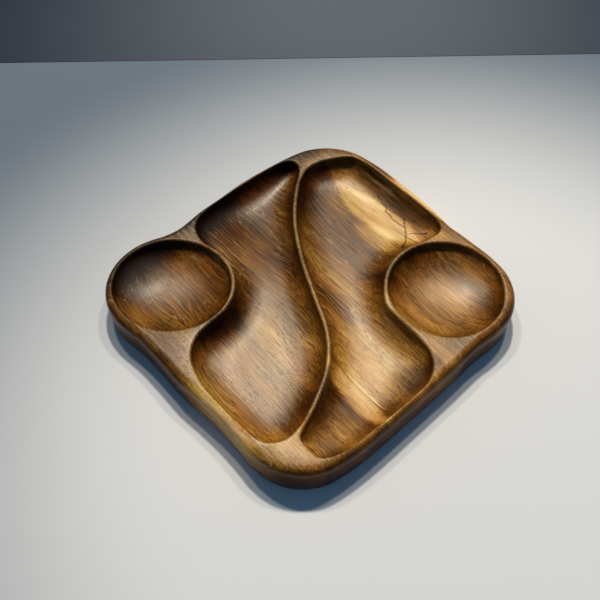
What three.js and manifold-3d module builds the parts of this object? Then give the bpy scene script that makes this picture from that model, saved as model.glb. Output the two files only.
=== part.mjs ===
// Wooden snack dish: a board of walnut staves glued edge to edge, with two round bowls
// and two long bays carved into its top face.
// Millimetres, +X along the grain, +Y across it, +Z up.
// The origin is the middle of the dish's outline, on its underside.
import * as THREE from "three";
import { mergeVertices } from "three/addons/utils/BufferGeometryUtils.js";
import Module from "manifold-3d";

const wasm = await Module();
wasm.setup();

// Driving dimensions of the board
const length = 299;
const width = 314;
const thickness = 32;
const frontRightRadius = 55;
const backLeftRadius = 64;
const waistDepth = 8;
const roundOver = 8;
const baseInset = 1;
const baseRound = 1.5;

// Driving dimensions of the staves: two edge staves, and inner ones that share the rest evenly
const frontEdgeWidth = 45;
const backEdgeWidth = 38;
const innerStaveCount = 3;

// Driving dimensions of the bowls and bays
const bowlRadius = 53.3;
const bowlDepth = 19;
const bowlRim = 6.5;
const bayRim = 6;
const bayDepth = 18.5;
const bayReach = 29;
const ridgeWidth = 4;
const lipRadius = 2.2;

// How far a cutter runs past the face that it cuts
const overrun = 5;

// Counts of facets
const outlineCount = 128;
const bowlCount = 52;
const bayStations = 64;
const floorSteps = 14;
const lipCount = 560;
const cornerSteps = 4;
const roundSteps = 4;
const baseSteps = 2;
const lipSteps = 3;
const bowlSteps = 8;
const ridgeSteps = 6;
const dividerSteps = 18;

const bowlCornerRadius = bowlRadius + bowlRim;

// Places of the four corners' centres, as shares of the room that each has
const frontLeftShares = [-0.975, -0.993];
const frontRightShares = [0.98, -0.907];
const backRightShares = [0.929, 0.936];
const backLeftShares = [-0.975, 0.988];

// How far each bowl lies from its corner's centre, as shares of the bowl's rim
const frontBowlShiftShares = [0.37, -0.08];
const backBowlShiftShares = [-0.29, -0.31];

// How much longer and narrower than a circle each bowl is, and which way it is longer
const frontOvalShare = 0.028;
const frontOvalDegrees = 25;
const backOvalShare = 0.02;
const backOvalDegrees = 125;

// Along each side, anticlockwise from corner to corner: how far along, how far in by the waist
const frontSideShares = [[0.18, 0.24], [0.34, 0.17], [0.5, 0], [0.64, 0.21], [0.78, 0.31], [0.93, 0.14]];
const rightSideShares = [[0.14, -0.22], [0.4, -0.18], [0.7, -0.04], [0.87, 0.12]];
const backSideShares = [
  [0.16, 0.07], [0.24, 0.14], [0.31, 0.27], [0.38, 0.08],
  [0.5, -0.2], [0.62, -0.28], [0.78, -0.28], [0.92, -0.18],
];
const leftSideShares = [
  [0.17, -0.25], [0.33, -0.22], [0.47, 0.12], [0.61, 0.4],
  [0.69, 0.76], [0.76, 1], [0.84, 0.8], [0.91, 0.3],
];

// The ridge between the bays, from the back left to the front right, as shares of the half board
const dividerShares = [
  [-0.825, 0.6], [-0.68, 0.428], [-0.48, 0.25], [-0.233, 0.096], [0.053, -0.04],
  [0.313, -0.16], [0.487, -0.3], [0.627, -0.51], [0.712, -0.7],
];
const backDividerRunShares = [0.06, 0.955];
const frontDividerRunShares = [0.975, 0.045];

// The outer lips of the bays, as shares of the half board inside the rim
const backBayStartShares = [
  [0.765, -0.725], [0.84, -0.737], [0.925, -0.72], [0.982, -0.62], [0.993, -0.4],
  [0.99, -0.09], [0.975, 0.03], [0.93, 0.11], [0.84, 0.18], [0.74, 0.2],
  [0.62, 0.207], [0.5, 0.214], [0.41, 0.228],
];
const backBayEndShares = [
  [0.213, 0.82], [0.215, 0.875], [0.188, 0.925], [0.11, 0.955], [-0.14, 0.968],
  [-0.4, 0.972], [-0.6, 0.968], [-0.7, 0.94], [-0.765, 0.86], [-0.815, 0.75], [-0.825, 0.65],
];
const frontBayStartShares = [
  [-0.88, 0.6], [-0.94, 0.605], [-0.985, 0.56], [-1.002, 0.42], [-1, 0.23],
  [-0.99, 0.06], [-0.972, -0.1], [-0.94, -0.2], [-0.865, -0.272],
];
const frontBayEndShares = [
  [-0.155, -0.76], [-0.08, -0.85], [0.05, -0.905], [0.2, -0.925], [0.4, -0.922],
  [0.56, -0.91], [0.66, -0.88], [0.715, -0.8],
];

// Where each bay's lip follows the ridge round its bowl, in degrees
const backRidgeDegrees = [-135, -205];
const frontRidgeDegrees = [112, 0];

// How far round its lip each tip of a bay lies
const backTipShares = [0.016, 0.62];
const frontTipShares = [0.006, 0.577];

// How the wall of a hollow falls from the lip to the floor: 2 is a quarter of an ellipse
const wallPower = 2;

const radians = THREE.MathUtils.degToRad;

// A place in the plan from a pair of shares of two half sizes
function placed([shareX, shareY], halfX, halfY) {
  return new THREE.Vector3(shareX * halfX, shareY * halfY, 0);
}

// Even points on the smooth closed curve through a few points
function closedCurve(points, count) {
  const curve = new THREE.CatmullRomCurve3(points, true, "centripetal");
  return curve.getSpacedPoints(count).slice(0, count);
}

// The outward normals of an anticlockwise ring in the plan
function normalsOf(ring) {
  return ring.map((point, i) => {
    const before = ring[(i + ring.length - 1) % ring.length];
    const after = ring[(i + 1) % ring.length];
    return new THREE.Vector3(after.y - before.y, before.x - after.x, 0).normalize();
  });
}

// A corner's centre and radius
function corner(shares, radius) {
  const centre = placed(shares, length / 2 - radius, width / 2 - radius);
  return { centre, radius };
}

const frontLeft = corner(frontLeftShares, bowlCornerRadius);
const frontRight = corner(frontRightShares, frontRightRadius);
const backRight = corner(backRightShares, bowlCornerRadius);
const backLeft = corner(backLeftShares, backLeftRadius);

// A bowl: its centre, how oval it is, and which way
function bowl(carrier, shiftShares, ovalShare, ovalDegrees) {
  const centre = placed(shiftShares, bowlRim, bowlRim).add(carrier.centre);
  return { centre, ovalShare, ovalDegrees };
}

const frontBowl = bowl(frontLeft, frontBowlShiftShares, frontOvalShare, frontOvalDegrees);
const backBowl = bowl(backRight, backBowlShiftShares, backOvalShare, backOvalDegrees);

// Points round an arc in the plan, between two angles in degrees
function arc(centre, radius, from, to, steps) {
  const points = [];
  for (let i = 0; i <= steps; i++) {
    const angle = radians(THREE.MathUtils.lerp(from, to, i / steps));
    const spoke = new THREE.Vector3(Math.cos(angle), Math.sin(angle), 0);
    points.push(spoke.multiplyScalar(radius).add(centre));
  }
  return points;
}

// Points along a side, between two corners, drawn in at the waist
function side(from, to, outward, shares) {
  const start = outward.clone().multiplyScalar(from.radius).add(from.centre);
  const end = outward.clone().multiplyScalar(to.radius).add(to.centre);
  return shares.map(([along, inward]) =>
    start.clone().lerp(end, along).addScaledVector(outward, -inward * waistDepth),
  );
}

// The board's outline, seen from above, anticlockwise from the front left corner
function boardOutline() {
  const front = new THREE.Vector3(0, -1, 0);
  const right = new THREE.Vector3(1, 0, 0);
  const back = new THREE.Vector3(0, 1, 0);
  const left = new THREE.Vector3(-1, 0, 0);
  const points = [
    ...arc(frontLeft.centre, frontLeft.radius, 180, 270, cornerSteps),
    ...side(frontLeft, frontRight, front, frontSideShares),
    ...arc(frontRight.centre, frontRight.radius, 270, 360, cornerSteps),
    ...side(frontRight, backRight, right, rightSideShares),
    ...arc(backRight.centre, backRight.radius, 0, 90, cornerSteps),
    ...side(backRight, backLeft, back, backSideShares),
    ...arc(backLeft.centre, backLeft.radius, 90, 180, cornerSteps),
    ...side(backLeft, frontLeft, left, leftSideShares),
  ];
  return fitted(closedCurve(points, outlineCount));
}

// The ring moved and stretched so that its box is the board's length and width about the origin
function fitted(ring) {
  const box = new THREE.Box3().setFromPoints(ring);
  const middle = box.getCenter(new THREE.Vector3());
  const size = box.getSize(new THREE.Vector3());
  const stretch = new THREE.Vector3(length / size.x, width / size.y, 1);
  return ring.map((point) => point.clone().sub(middle).multiply(stretch));
}

// How far a place lies inside a ring
function distanceTo(ring, place) {
  let least = Infinity;
  const segment = new THREE.Line3();
  const nearest = new THREE.Vector3();
  ring.forEach((point, i) => {
    segment.set(point, ring[(i + 1) % ring.length]);
    segment.closestPointToPoint(place, true, nearest);
    least = Math.min(least, nearest.distanceTo(place));
  });
  return least;
}

// The triangles that fill a ring, turned anticlockwise
function capFaces(ring) {
  const contour = ring.map((point) => new THREE.Vector2(point.x, point.y));
  return THREE.ShapeUtils.triangulateShape(contour, []).map(([a, b, c]) => {
    const first = contour[b].clone().sub(contour[a]);
    const second = contour[c].clone().sub(contour[a]);
    return first.cross(second) > 0 ? [a, b, c] : [a, c, b];
  });
}

// The faces that join each of some closed rings of points to the next
function ringFaces(rings) {
  const count = rings[0].length;
  const faces = [];
  for (let r = 0; r + 1 < rings.length; r++) {
    for (let i = 0; i < count; i++) {
      const here = r * count + i;
      const next = r * count + ((i + 1) % count);
      faces.push([here, next, next + count], [here, next + count, here + count]);
    }
  }
  return faces;
}

// A closed geometry through anticlockwise rings, from the lowest to the highest
function stack(rings) {
  const faces = ringFaces(rings);
  const top = (rings.length - 1) * rings[0].length;
  capFaces(rings[0]).forEach(([a, b, c]) => faces.push([a, c, b]));
  capFaces(rings.at(-1)).forEach(([a, b, c]) => faces.push([top + a, top + b, top + c]));
  return new THREE.BufferGeometry().setFromPoints(rings.flat()).setIndex(faces.flat());
}

// A geometry as a solid that can be cut
function solidOf(geometry) {
  const bare = geometry.clone();
  bare.deleteAttribute("normal");
  bare.deleteAttribute("uv");
  const merged = mergeVertices(bare);
  const corners = Array.from(merged.index.array);
  const faces = [];
  for (let i = 0; i < corners.length; i += 3) {
    const face = corners.slice(i, i + 3);
    if (new Set(face).size === face.length) faces.push(face);
  }
  return new wasm.Manifold(
    new wasm.Mesh({
      numProp: 3,
      vertProperties: new Float32Array(merged.attributes.position.array),
      triVerts: new Uint32Array(faces.flat()),
    }),
  );
}

// A cut solid as a geometry again
function geometryOf(solid) {
  const mesh = solid.getMesh();
  const geometry = new THREE.BufferGeometry();
  geometry.setAttribute("position", new THREE.BufferAttribute(mesh.vertProperties, 3));
  geometry.setIndex(new THREE.BufferAttribute(mesh.triVerts, 1));
  geometry.computeVertexNormals();
  return geometry;
}

// A ring of the board: the outline drawn in by an inset, at a height
function boardRing(outline, normals, inset, height) {
  return outline.map((point, i) =>
    point.clone().addScaledVector(normals[i], -inset).setZ(height),
  );
}

// The board before carving: a rounded base edge, walls that lean in, a rounded top edge
function board(outline) {
  const normals = normalsOf(outline);
  const rings = [];
  for (let i = 0; i <= baseSteps; i++) {
    const angle = radians(90 * (1 - i / baseSteps));
    const inset = baseInset + baseRound * (1 - Math.cos(angle));
    rings.push(boardRing(outline, normals, inset, baseRound * (1 - Math.sin(angle))));
  }
  for (let i = 0; i <= roundSteps; i++) {
    const angle = radians(90 * (i / roundSteps));
    const inset = roundOver * (1 - Math.cos(angle));
    const height = thickness - roundOver * (1 - Math.sin(angle));
    rings.push(boardRing(outline, normals, inset, height));
  }
  return solidOf(stack(rings));
}

// How far the rounded top edge has fallen at a place
function edgeDrop(outline, place) {
  const inside = Math.min(distanceTo(outline, place), roundOver);
  return roundOver - Math.sqrt(roundOver ** 2 - (roundOver - inside) ** 2);
}

// The share of its depth that a hollow has reached, at a share of the way in from its lip
function wallFall(share) {
  return (1 - (1 - share) ** wallPower) ** (1 / wallPower);
}

// The quarter round of a lip: how far out from the wall and how far up each point lies
function lipProfile() {
  const points = [];
  for (let i = 0; i <= lipSteps; i++) {
    const angle = radians(90 * (i / lipSteps));
    points.push([lipRadius * (1 - Math.cos(angle)), lipRadius * Math.sin(angle)]);
  }
  return points;
}

// A bowl's cutter: a turned profile with a rounded lip, drawn out into an oval
function bowlCutter({ centre, ovalShare, ovalDegrees }) {
  const profile = [new THREE.Vector2(0, -bowlDepth)];
  for (let i = bowlSteps - 1; i > 0; i--) {
    const share = 1 - Math.cos(radians(90 * (i / bowlSteps)));
    const fall = THREE.MathUtils.lerp(lipRadius, bowlDepth, wallFall(share));
    profile.push(new THREE.Vector2(bowlRadius * (1 - share), -fall));
  }
  for (const [out, rise] of lipProfile()) {
    profile.push(new THREE.Vector2(bowlRadius + out, rise - lipRadius));
  }
  profile.push(new THREE.Vector2(bowlRadius + lipRadius, overrun));
  profile.push(new THREE.Vector2(0, overrun));
  const turned = new THREE.LatheGeometry(profile, bowlCount);
  turned.rotateX(radians(90)).scale(1 + ovalShare, 1 - ovalShare, 1);
  turned.rotateZ(radians(ovalDegrees)).translate(centre.x, centre.y, thickness);
  return solidOf(turned);
}

// Points along the far side of the ridge round a bowl, between two angles in degrees
function ridgeRun({ centre, ovalShare, ovalDegrees }, [from, to]) {
  const points = [];
  for (let i = 0; i <= ridgeSteps; i++) {
    const angle = radians(THREE.MathUtils.lerp(from, to, i / ridgeSteps));
    const oval = 1 + ovalShare * Math.cos(2 * (angle - radians(ovalDegrees)));
    const spoke = new THREE.Vector3(Math.cos(angle), Math.sin(angle), 0);
    points.push(spoke.multiplyScalar(bowlRadius * oval + ridgeWidth).add(centre));
  }
  return points;
}

// The curve along the top of the ridge between the bays
function dividerCurve() {
  const points = dividerShares.map((share) => placed(share, length / 2, width / 2));
  return new THREE.CatmullRomCurve3(points, false, "centripetal");
}

// Points beside the divider, half a ridge to one side, between two shares of its length
function dividerRun(divider, [from, to], sideways) {
  const points = [];
  for (let i = 0; i <= dividerSteps; i++) {
    const share = THREE.MathUtils.lerp(from, to, i / dividerSteps);
    const tangent = divider.getTangentAt(share);
    const across = new THREE.Vector3(-tangent.y, tangent.x, 0);
    const point = divider.getPointAt(share);
    points.push(point.addScaledVector(across, (sideways * ridgeWidth) / 2));
  }
  return points;
}

// A bay's lip: an outer run, the ridge round its bowl, another outer run, the divider
function bayLip(nearBowl, startShares, ridgeDegrees, endShares, run) {
  const inner = (share) => placed(share, length / 2 - bayRim, width / 2 - bayRim);
  const ridge = ridgeRun(nearBowl, ridgeDegrees);
  const points = [...startShares.map(inner), ...ridge, ...endShares.map(inner), ...run];
  const lip = new THREE.CatmullRomCurve3(points, true, "centripetal");
  lip.arcLengthDivisions = lipCount;
  return lip;
}

// How far a place is from a lip, evened out where two stretches of the lip are equally near
function openDistance(samples, place) {
  let pull = 0;
  samples.forEach((sample, i) => {
    const span = sample.distanceTo(samples[(i + 1) % samples.length]);
    pull += span / Math.max(sample.distanceTo(place), span) ** 3;
  });
  return Math.sqrt(2 / pull);
}

// The column of points of a bay's cutter at a share of the way round its lip, from the lip up
function lipColumn(outline, lip, share) {
  const point = lip.getPointAt(share % 1);
  const tangent = lip.getTangentAt(share % 1);
  const normal = new THREE.Vector3(tangent.y, -tangent.x, 0);
  const edge = thickness - lipRadius - edgeDrop(outline, point);
  const column = lipProfile().map(([out, rise]) =>
    point.clone().addScaledVector(normal, out).setZ(edge + rise),
  );
  column.push(column.at(-1).clone().setZ(thickness + overrun));
  return column;
}

// The floor of a bay across one section, between the lip points on its two sides
function floorRun(samples, start, end) {
  const points = [];
  for (let i = 1; i < floorSteps; i++) {
    const share = (1 - Math.cos(radians(180 * (i / floorSteps)))) / 2;
    const place = start.clone().lerp(end, share).setZ(0);
    const reached = Math.min(openDistance(samples, place) / bayReach, 1);
    const edge = THREE.MathUtils.lerp(start.z, end.z, share);
    points.push(place.setZ(THREE.MathUtils.lerp(edge, thickness - bayDepth, wallFall(reached))));
  }
  return points;
}

// A bay's cutter: sections from tip to tip, each from the outer lip across to the divider
function bayCutter(outline, lip, [nearTip, farTip]) {
  const samples = lip.getSpacedPoints(lipCount).slice(1);
  const sections = [];
  for (let i = 0; i <= bayStations; i++) {
    const along = i / bayStations;
    const outer = lipColumn(outline, lip, THREE.MathUtils.lerp(nearTip, farTip, along));
    const inner = lipColumn(outline, lip, THREE.MathUtils.lerp(nearTip + 1, farTip, along));
    const floor = floorRun(samples, outer[0], inner[0]);
    sections.push([...outer.reverse(), ...floor, ...inner]);
  }
  const faces = ringFaces(sections);
  return solidOf(new THREE.BufferGeometry().setFromPoints(sections.flat()).setIndex(faces.flat()));
}

// The whole dish, carved from the glued board
function carvedDish() {
  const outline = boardOutline();
  const divider = dividerCurve();
  const backLip = bayLip(
    backBowl,
    backBayStartShares,
    backRidgeDegrees,
    backBayEndShares,
    dividerRun(divider, backDividerRunShares, 1),
  );
  const frontLip = bayLip(
    frontBowl,
    frontBayStartShares,
    frontRidgeDegrees,
    frontBayEndShares,
    dividerRun(divider, frontDividerRunShares, -1),
  );
  return board(outline)
    .subtract(bowlCutter(backBowl))
    .subtract(bowlCutter(frontBowl))
    .subtract(bayCutter(outline, backLip, backTipShares))
    .subtract(bayCutter(outline, frontLip, frontTipShares));
}

// The glue lines across the board, from front to back
function glueLines() {
  const first = -width / 2 + frontEdgeWidth;
  const last = width / 2 - backEdgeWidth;
  const lines = [];
  for (let i = 0; i <= innerStaveCount; i++) {
    lines.push(THREE.MathUtils.lerp(first, last, i / innerStaveCount));
  }
  return lines;
}

// The part of the dish between two glue lines
function staveSolid(dish, from, to) {
  const box = new THREE.BoxGeometry(length + overrun, to - from, thickness + overrun);
  box.translate(0, (from + to) / 2, thickness / 2);
  return dish.intersect(solidOf(box));
}

// Walnut, a little different from stave to stave
function walnut(index) {
  const tones = [0x9a6a3a, 0x7b4f2c, 0x85572f, 0x74492a, 0x8d6036];
  return new THREE.MeshStandardMaterial({
    color: tones[index % tones.length],
    roughness: 0.45,
    metalness: 0,
  });
}

// A stave's name: its number from the front, and what is special about its place
function staveName(index, count) {
  const places = new Map([
    [0, "_front_edge"],
    [(count - 1) / 2, "_middle"],
    [count - 1, "_back_edge"],
  ]);
  return "stave_" + (index + 1) + (places.get(index) ?? "");
}

const group = new THREE.Group();
const dish = carvedDish();
const edges = [-width / 2 - overrun, ...glueLines(), width / 2 + overrun];
for (let i = 0; i + 1 < edges.length; i++) {
  const stave = new THREE.Mesh(geometryOf(staveSolid(dish, edges[i], edges[i + 1])), walnut(i));
  stave.name = staveName(i, edges.length - 1);
  group.add(stave);
}

export default group;
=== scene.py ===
# %% [markdown]
# A carved walnut snack dish. On the real dish five staves are glued edge to edge, the board is cut to
# its rounded outline, and two bowls and two bays are carved and sanded into its face. This lesson makes
# the same moves: a board, four cutters, one carving, and the glue lines last, so that the surface runs
# smoothly from stave to stave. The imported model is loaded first, because it fixes every place and size.

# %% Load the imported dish
import math

import bmesh
import bpy
import numpy as np
from mathutils import Matrix, Vector


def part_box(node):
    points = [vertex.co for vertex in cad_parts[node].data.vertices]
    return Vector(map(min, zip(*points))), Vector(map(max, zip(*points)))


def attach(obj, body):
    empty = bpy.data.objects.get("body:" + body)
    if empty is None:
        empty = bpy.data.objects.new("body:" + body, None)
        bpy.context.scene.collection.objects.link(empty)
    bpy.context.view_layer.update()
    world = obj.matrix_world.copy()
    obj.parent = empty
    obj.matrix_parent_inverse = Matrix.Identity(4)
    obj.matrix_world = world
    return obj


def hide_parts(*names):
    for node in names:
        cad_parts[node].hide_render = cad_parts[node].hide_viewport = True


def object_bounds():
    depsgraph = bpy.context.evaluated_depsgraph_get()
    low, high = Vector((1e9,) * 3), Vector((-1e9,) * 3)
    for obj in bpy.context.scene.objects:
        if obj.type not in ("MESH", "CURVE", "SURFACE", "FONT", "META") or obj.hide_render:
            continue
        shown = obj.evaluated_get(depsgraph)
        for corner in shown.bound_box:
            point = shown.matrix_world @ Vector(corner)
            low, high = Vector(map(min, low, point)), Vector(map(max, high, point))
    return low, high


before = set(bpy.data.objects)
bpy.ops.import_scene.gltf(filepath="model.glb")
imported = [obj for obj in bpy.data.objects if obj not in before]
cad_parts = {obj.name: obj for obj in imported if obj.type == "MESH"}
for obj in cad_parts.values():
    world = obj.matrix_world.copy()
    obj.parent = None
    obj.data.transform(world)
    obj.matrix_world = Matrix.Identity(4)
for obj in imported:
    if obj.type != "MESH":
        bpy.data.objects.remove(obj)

scene = bpy.context.scene
mm = 0.001
cad_low, cad_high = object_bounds()
length, width, thickness = cad_high - cad_low
staves = sorted(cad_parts)
print("dish", [round(size / mm, 1) for size in (length, width, thickness)], "mm in", len(staves), "staves")

# %% [markdown]
# The camera comes before the pieces. It looks down over the front right corner from about 74 cm away,
# with a lens of normal length, which is how the dish was photographed.

# %% Set the camera
camera_place = (0.33321, -0.29961, 0.59441)
camera_turn_degrees = (37.378, 0.181, 49.334)
camera_lens = 47.395
camera_sensor = 36.0

camera = bpy.data.objects.new("camera", bpy.data.cameras.new("camera"))
camera.location = camera_place
camera.rotation_euler = [math.radians(turn) for turn in camera_turn_degrees]
camera.data.lens = camera_lens
camera.data.sensor_width = camera_sensor
scene.collection.objects.link(camera)
scene.camera = camera
print("camera at", [round(place, 3) for place in camera_place])

# %% [markdown]
# Every outline of the dish is a smooth line through a few points that a carver would mark on the board.
# A curve object could draw it, but the bays need to know their lip at any share of its length, so the
# line is worked out here once. Each stretch between two points is a cubic whose ends follow the points
# beside it. Its pace goes with the square root of the gap, so it never loops between two close points.

# %% A smooth line through a few points
points_per_span = 32


def smooth_line(points, closed):
    """Close points along the smooth line through a few points in the plan."""
    points = np.array(points, float)
    if closed:
        around = np.vstack([points[-1:], points, points[:2]])
    else:
        around = np.vstack([2 * points[:1] - points[1:2], points, 2 * points[-1:] - points[-2:-1]])
    gaps = np.sqrt(np.linalg.norm(np.diff(around, axis=0), axis=1))
    shares = np.arange(points_per_span)[:, None] / points_per_span
    line = []
    for i in range(1, len(around) - 2):
        before, here, there, after = around[i - 1:i + 3]
        first, middle, last = gaps[i - 1:i + 2]
        leave = (here - before) / first - (there - before) / (first + middle) + (there - here) / middle
        arrive = (there - here) / middle - (after - here) / (middle + last) + (after - there) / last
        cubic = 2 * here - 2 * there + (leave + arrive) * middle
        square = 3 * there - 3 * here - (2 * leave + arrive) * middle
        line.append(here + leave * middle * shares + square * shares ** 2 + cubic * shares ** 3)
    line.append(around[-2:-1])
    return np.vstack(line)


def along(line, shares):
    """The places at some shares of a line's length, and the line's directions there."""
    steps = np.linalg.norm(np.diff(line, axis=0), axis=1)
    reached = np.concatenate([[0], np.cumsum(steps)])
    wanted = np.asarray(shares) * reached[-1]
    places = np.column_stack([np.interp(wanted, reached, line[:, axis]) for axis in (0, 1)])
    slopes = np.gradient(line, reached, axis=0)
    ways = np.column_stack([np.interp(wanted, reached, slopes[:, axis]) for axis in (0, 1)])
    return places, ways / np.linalg.norm(ways, axis=1, keepdims=True)


def arc(centre, radius, start_degrees, end_degrees, steps):
    """Points round an arc in the plan."""
    angles = np.radians(np.linspace(start_degrees, end_degrees, steps + 1))
    return centre + radius * np.column_stack([np.cos(angles), np.sin(angles)])


print("a smooth line has", points_per_span, "points in each span")

# %% [markdown]
# The board's outline is four corner arcs joined by sides that draw in a little at the waist, each side
# marked at a few shares of its way. The two bowls sit in the front left and back right corners, so those
# corners follow the bowls, and the other two have radii of their own.

# %% The board's outline
bowl_radius = 53.3 * mm
bowl_rim = 6.5 * mm
front_right_radius = 55 * mm
back_left_radius = 64 * mm
waist_depth = 8 * mm
corner_steps = 4
outline_count = 480

front_left_shares = (-0.975, -0.993)
front_right_shares = (0.98, -0.907)
back_right_shares = (0.929, 0.936)
back_left_shares = (-0.975, 0.988)
front_side_shares = [(0.18, 0.24), (0.34, 0.17), (0.5, 0), (0.64, 0.21), (0.78, 0.31), (0.93, 0.14)]
right_side_shares = [(0.14, -0.22), (0.4, -0.18), (0.7, -0.04), (0.87, 0.12)]
back_side_shares = [
    (0.16, 0.07), (0.24, 0.14), (0.31, 0.27), (0.38, 0.08),
    (0.5, -0.2), (0.62, -0.28), (0.78, -0.28), (0.92, -0.18),
]
left_side_shares = [
    (0.17, -0.25), (0.33, -0.22), (0.47, 0.12), (0.61, 0.4),
    (0.69, 0.76), (0.76, 1), (0.84, 0.8), (0.91, 0.3),
]


def corner(shares, radius):
    """A corner's centre and radius."""
    room = np.array([length / 2 - radius, width / 2 - radius])
    return np.array(shares) * room, radius


def side(start, end, outward, shares):
    """Points along a side between two corners, drawn in at the waist."""
    outward = np.array(outward, float)
    first = start[0] + outward * start[1]
    last = end[0] + outward * end[1]
    return [first + (last - first) * way - outward * inward * waist_depth for way, inward in shares]


front_left = corner(front_left_shares, bowl_radius + bowl_rim)
front_right = corner(front_right_shares, front_right_radius)
back_right = corner(back_right_shares, bowl_radius + bowl_rim)
back_left = corner(back_left_shares, back_left_radius)
marks = np.vstack([
    arc(*front_left, 180, 270, corner_steps), side(front_left, front_right, (0, -1), front_side_shares),
    arc(*front_right, 270, 360, corner_steps), side(front_right, back_right, (1, 0), right_side_shares),
    arc(*back_right, 0, 90, corner_steps), side(back_right, back_left, (0, 1), back_side_shares),
    arc(*back_left, 90, 180, corner_steps), side(back_left, front_left, (-1, 0), left_side_shares),
])
drawn, _ = along(smooth_line(marks, True), np.arange(outline_count) / outline_count)
drawn_size = drawn.max(0) - drawn.min(0)
outline = (drawn - drawn.min(0) - drawn_size / 2) / drawn_size * np.array([length, width])
print("outline of", len(outline), "points round", len(marks), "marks")

# %% [markdown]
# The blank board is the outline filled with one face and extruded to its thickness. Its top edge was
# rounded over with a cutter and its base edge only broken with sandpaper, which two bevels repeat. The
# walls lean in a little towards the base, so the vertices below the shoulder are drawn in afterwards.

# %% Cut the blank board
round_over = 8 * mm
round_over_segments = 10
base_inset = 1 * mm
base_round = 1.5 * mm
base_segments = 3
edge_tolerance = 0.1 * mm


def bevel_round(bm, height, radius, segments):
    """Rounds the board's edge at a height."""
    edges = [e for e in bm.edges if all(abs(v.co.z - height) < edge_tolerance for v in e.verts)]
    bmesh.ops.bevel(
        bm, geom=edges, offset=radius, offset_type="OFFSET", affect="EDGES",
        segments=segments, profile=0.5, material=-1,
    )


def shape(name, bm):
    """A finished bmesh as an object at the origin."""
    mesh = bpy.data.meshes.new(name)
    bm.to_mesh(mesh)
    bm.free()
    made = bpy.data.objects.new(name, mesh)
    scene.collection.objects.link(made)
    return made


def blank_board():
    """The board before carving."""
    bm = bmesh.new()
    base = bm.faces.new([bm.verts.new((x, y, 0)) for x, y in outline])
    raised = bmesh.ops.extrude_face_region(bm, geom=[base])["geom"]
    top = [part for part in raised if isinstance(part, bmesh.types.BMVert)]
    bmesh.ops.translate(bm, verts=top, vec=(0, 0, thickness))
    bevel_round(bm, thickness, round_over, round_over_segments)
    bevel_round(bm, 0, base_round, base_segments)
    shoulder = thickness - round_over
    for v in bm.verts:
        lean = 1 - 2 * base_inset / length * max(0, 1 - v.co.z / shoulder)
        v.co.x *= lean
        v.co.y *= lean
    bmesh.ops.recalc_face_normals(bm, faces=bm.faces)
    return shape("carved_dish", bm)


dish = blank_board()
print("blank board with", len(dish.data.polygons), "faces")

# %% [markdown]
# Each bowl is turned: half of its section, spun round, gives the cutter. The section falls from a sanded
# lip of about 2 mm down a quarter ellipse to the floor. A bowl that a carver opens by hand is never
# quite round, so the cutter is stretched a little along one slanting direction.

# %% Spin the bowl cutters
bowl_depth = 19 * mm
lip_radius = 2.2 * mm
overrun = 5 * mm
bowl_steps = 28
bowl_turn_steps = 192
lip_steps = 6
front_bowl_shift_shares = (0.37, -0.08)
back_bowl_shift_shares = (-0.29, -0.31)
front_oval_share = 0.028
front_oval_degrees = 25
back_oval_share = 0.02
back_oval_degrees = 125
merge_distance = mm / 1000

lip_angles = np.radians(np.linspace(0, 90, lip_steps + 1))
lip_out = lip_radius * (1 - np.cos(lip_angles))
lip_rise = lip_radius * np.sin(lip_angles)


def wall_fall(share):
    """The share of its depth that a hollow has reached, at a share of the way in from its lip."""
    return np.sqrt(1 - (1 - share) ** 2)


def bowl_section():
    """Half of a bowl's section, from its lowest point out and up over the lip."""
    inward = 1 - np.cos(np.radians(np.linspace(90, 0, bowl_steps + 1)))[:-1]
    falls = lip_radius + (bowl_depth - lip_radius) * wall_fall(inward)
    section = [(bowl_radius * (1 - share), -fall) for share, fall in zip(inward, falls)]
    section += [(bowl_radius + out, rise - lip_radius) for out, rise in zip(lip_out, lip_rise)]
    return section + [(bowl_radius + lip_radius, overrun), (0, overrun)]


def bowl_cutter(name, centre, oval_share, oval_degrees):
    """A bowl's cutter, spun, stretched and put in its corner."""
    bm = bmesh.new()
    rim = [bm.verts.new((reach, 0, height)) for reach, height in bowl_section()]
    edges = [bm.edges.new(pair) for pair in zip(rim, rim[1:])]
    bmesh.ops.spin(
        bm, geom=rim + edges, cent=(0, 0, 0), axis=(0, 0, 1), angle=math.tau,
        steps=bowl_turn_steps, use_merge=True,
    )
    bmesh.ops.remove_doubles(bm, verts=bm.verts, dist=merge_distance)
    bmesh.ops.scale(bm, verts=bm.verts, vec=(1 + oval_share, 1 - oval_share, 1))
    turn = Matrix.Rotation(math.radians(oval_degrees), 3, "Z")
    bmesh.ops.rotate(bm, verts=bm.verts, cent=(0, 0, 0), matrix=turn)
    bmesh.ops.translate(bm, verts=bm.verts, vec=(*centre, thickness))
    bmesh.ops.recalc_face_normals(bm, faces=bm.faces)
    return shape(name, bm)


front_bowl = front_left[0] + np.array(front_bowl_shift_shares) * bowl_rim
back_bowl = back_right[0] + np.array(back_bowl_shift_shares) * bowl_rim
cutters = [
    bowl_cutter("front_bowl_cutter", front_bowl, front_oval_share, front_oval_degrees),
    bowl_cutter("back_bowl_cutter", back_bowl, back_oval_share, back_oval_degrees),
]
print("bowl centres", np.round(front_bowl / mm, 1), np.round(back_bowl / mm, 1))

# %% [markdown]
# A bay has no axis to spin about. Its lip runs along the rim, round the neighbouring bowl and back along
# the winding ridge, and its floor dishes down from that lip everywhere. The ridge is one smooth line,
# and each bay keeps half a ridge away from it.

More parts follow.
